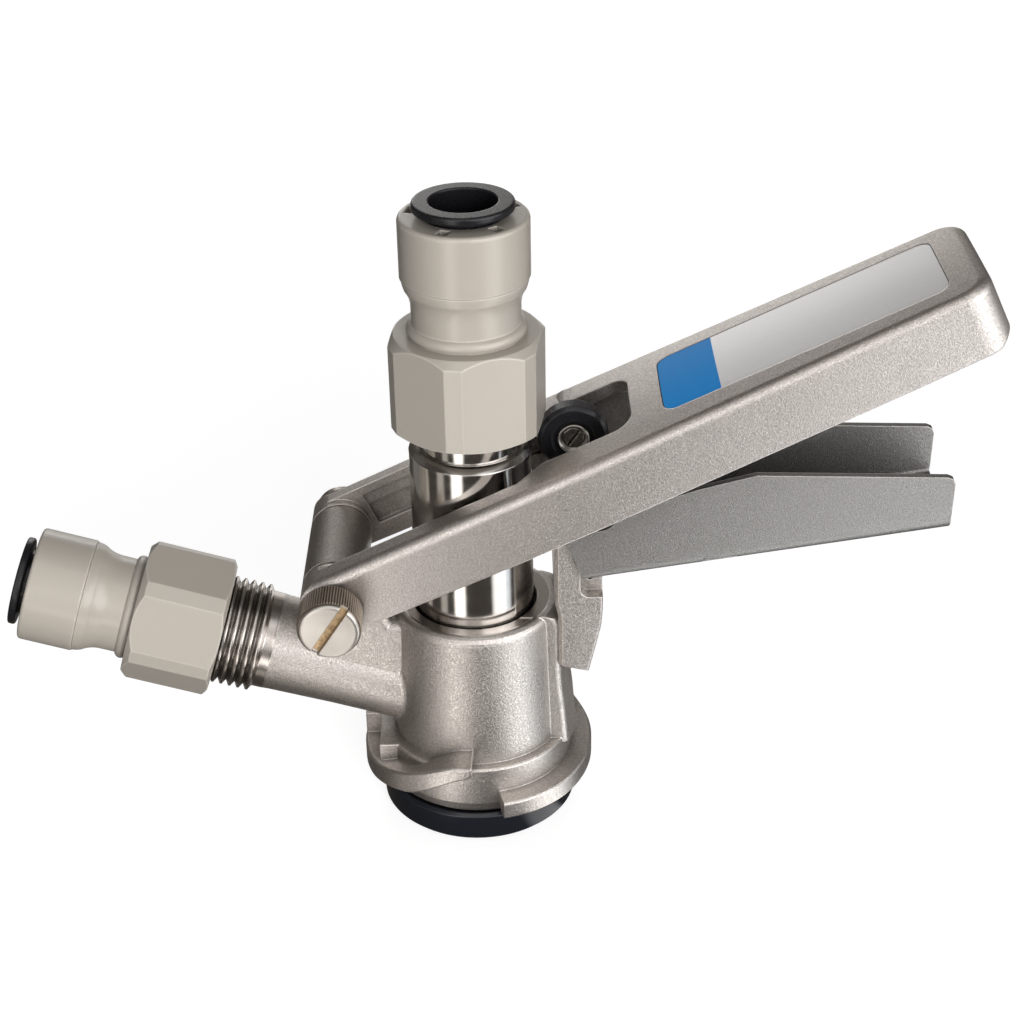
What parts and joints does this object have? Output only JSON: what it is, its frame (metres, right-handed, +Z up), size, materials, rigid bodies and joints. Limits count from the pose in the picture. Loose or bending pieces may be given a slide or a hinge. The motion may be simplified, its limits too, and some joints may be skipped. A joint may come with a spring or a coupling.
{
  "type": "keg coupler",
  "caption": "Keg coupler: bayonet body, lever-driven probe with stop roller, lower grip, and push-in fittings for a beer and a gas tube.",
  "frame": {"origin": "centre of the bottom seal's lower face, on the probe's axis", "axes": "+Z up along the probe towards the beer outlet, +X towards the handles' ends, -Y towards the knurled hinge screw"},
  "size_m": [0.1998, 0.0521, 0.1362],
  "materials": {
    "cast_steel": "satin, bead blasted",
    "sheet_steel": "fine brushed",
    "polished_steel": "polished",
    "turned_steel": "turned",
    "acetal": "matte",
    "black_plastic": "matte",
    "rubber": "matte",
    "bronze": "turned",
    "white_plastic": "matte",
    "label": "silver foil with a blue end"
  },
  "bodies": {
    "base": {"body_casting": "cast_steel", "bottom_seal": "rubber", "barrel_guide_ring": "white_plastic", "barrel_o_ring": "rubber", "gas_fitting_body": "acetal", "gas_fitting_cover": "acetal", "gas_fitting_o_ring": "rubber", "gas_fitting_spacer": "acetal", "gas_flat_washer": "rubber", "gas_check_valve": "rubber", "gas_valve_ring": "white_plastic", "gas_valve_spacer": "white_plastic", "pivot_pin": "turned_steel", "pivot_screw": "turned_steel", "lower_grip": "sheet_steel", "grip_screws": "turned_steel"},
    "lever": {"lever": "cast_steel", "label_plate": "label", "lever_studs": "turned_steel", "stud_bushes": "bronze", "pivot_bushes": "bronze", "roller_bush": "turned_steel", "roller_screw": "turned_steel"},
    "roller": {"roller": "black_plastic"},
    "probe": {"probe_tube": "polished_steel", "probe_tip": "polished_steel", "probe_tip_seal": "rubber", "ball_cage": "white_plastic", "top_fitting_body": "acetal", "top_fitting_cover": "acetal", "top_fitting_o_ring": "rubber", "top_fitting_spacer": "acetal", "top_flat_washer": "rubber"},
    "ball": {"check_ball": "white_plastic"},
    "top_collet": {"top_fitting_collet": "black_plastic"},
    "gas_collet": {"gas_fitting_collet": "black_plastic"}
  },
  "joints": [
    {"name": "lever_hinge", "type": "hinge", "parent": "base", "child": "lever", "pos_m": [-0.0281, 0, 0.0578], "axis": [0, 1, 0], "range_deg": [0, 11.46]},
    {"name": "probe_slide", "type": "slide", "parent": "base", "child": "probe", "axis": [0, 0, -1], "range_m": [0, 0.0053]},
    {"name": "ball_lift", "type": "slide", "parent": "probe", "child": "ball", "axis": [0, 0, 1], "range_m": [0, 0.003]},
    {"name": "roller_spin", "type": "hinge", "parent": "lever", "child": "roller", "pos_m": [0.0208, 0.0027, 0.08468], "axis": [0, 1, 0], "continuous": true},
    {"name": "top_collet_press", "type": "slide", "parent": "probe", "child": "top_collet", "axis": [0, 0, -1], "range_m": [0, 0.0009]},
    {"name": "gas_collet_press", "type": "slide", "parent": "base", "child": "gas_collet", "axis": [0.9542, 0, -0.299], "range_m": [0, 0.0008]}
  ],
  "couplings": [
    {"joint": "probe_slide", "follows": "lever_hinge", "m_per_rad": 0.026055}
  ]
}
